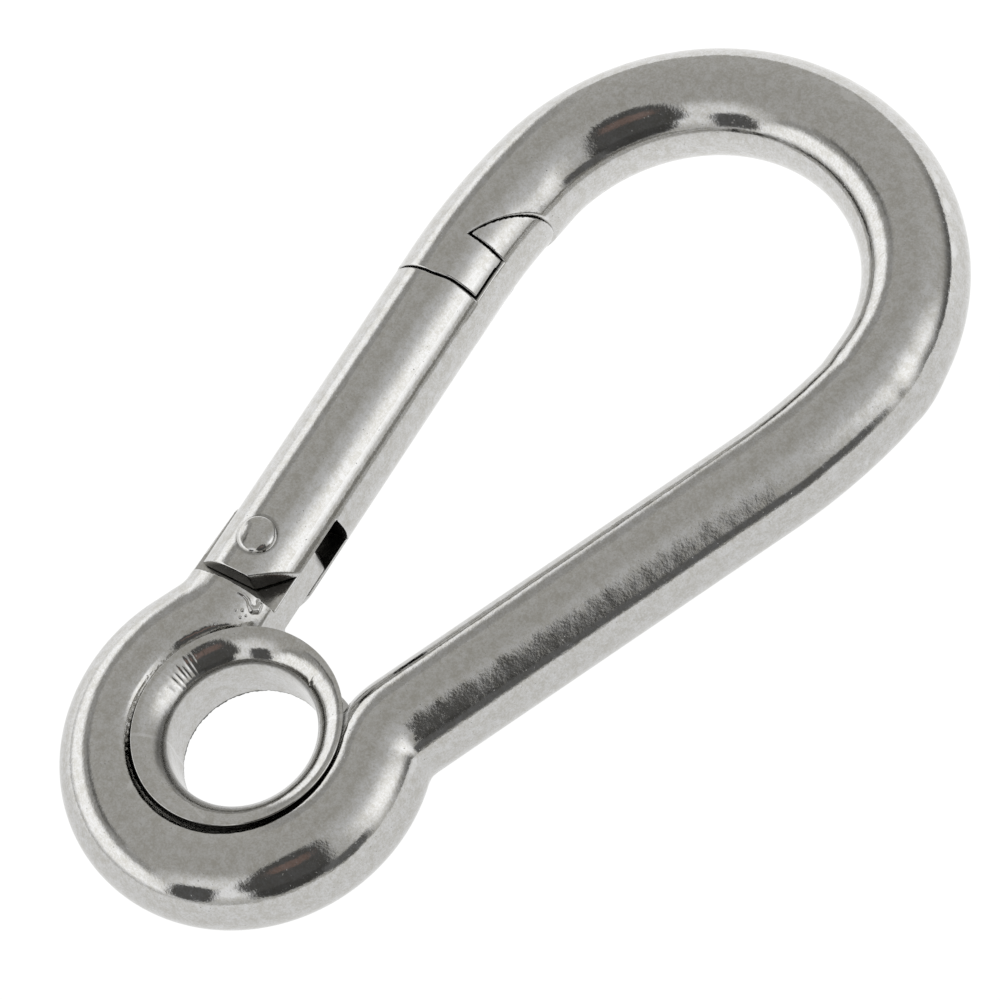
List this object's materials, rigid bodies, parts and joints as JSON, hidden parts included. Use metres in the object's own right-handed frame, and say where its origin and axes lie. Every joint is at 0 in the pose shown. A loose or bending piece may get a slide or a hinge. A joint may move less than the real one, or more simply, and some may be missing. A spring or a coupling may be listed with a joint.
{
  "type": "spring snap hook",
  "caption": "Pear-shaped snap hook bent from round bar, with a sprung gate that swings into the loop and a captive flanged eyelet in its small end.",
  "frame": {"origin": "on the eyelet axis, half way through the thickness of the bar", "axes": "+Y along the length of the hook from the eyelet to the far bend, +X from the gate to the solid side of the loop, +Z square to the loop, toward the side with the eyelet's sleeve flange"},
  "size_m": [0.0498, 0.1, 0.011],
  "materials": {
    "polished_bar": "tumble polished stainless steel with fine pits",
    "polished_gate": "tumble polished stainless steel",
    "rivet_steel": "polished peened stainless steel",
    "spring_wire": "drawn stainless wire",
    "plunger_steel": "turned stainless steel",
    "eyelet_steel": "polished stainless steel, lightly dented"
  },
  "bodies": {
    "body": {"hook_body": "polished_bar"},
    "gate": {"gate": "polished_gate", "hinge_rivet": "rivet_steel", "gate_spring": "spring_wire"},
    "plunger": {"spring_plunger": "plunger_steel"},
    "eyelet": {"eyelet_front": "eyelet_steel", "eyelet_back": "eyelet_steel"}
  },
  "joints": [
    {"name": "gate_pivot", "type": "hinge", "parent": "body", "child": "gate", "pos_m": [-0.01207, 0.0144, 0], "axis": [0, 0, -1], "range_deg": [0, 42], "stiffness_Nm_per_rad": 0.01, "springref_deg": -154.7},
    {"name": "plunger_slide", "type": "slide", "parent": "gate", "child": "plunger", "axis": [-0.2238, 0.9746, 0], "range_m": [0, 0.0012], "deforming": ["gate_spring"]},
    {"name": "eyelet_spin", "type": "hinge", "parent": "body", "child": "eyelet", "pos_m": [0, 0, 0], "axis": [0, 0, 1], "continuous": true}
  ],
  "couplings": [
    {"joint": "plunger_slide", "follows": "gate_pivot", "m_per_rad": 0.0015}
  ]
}
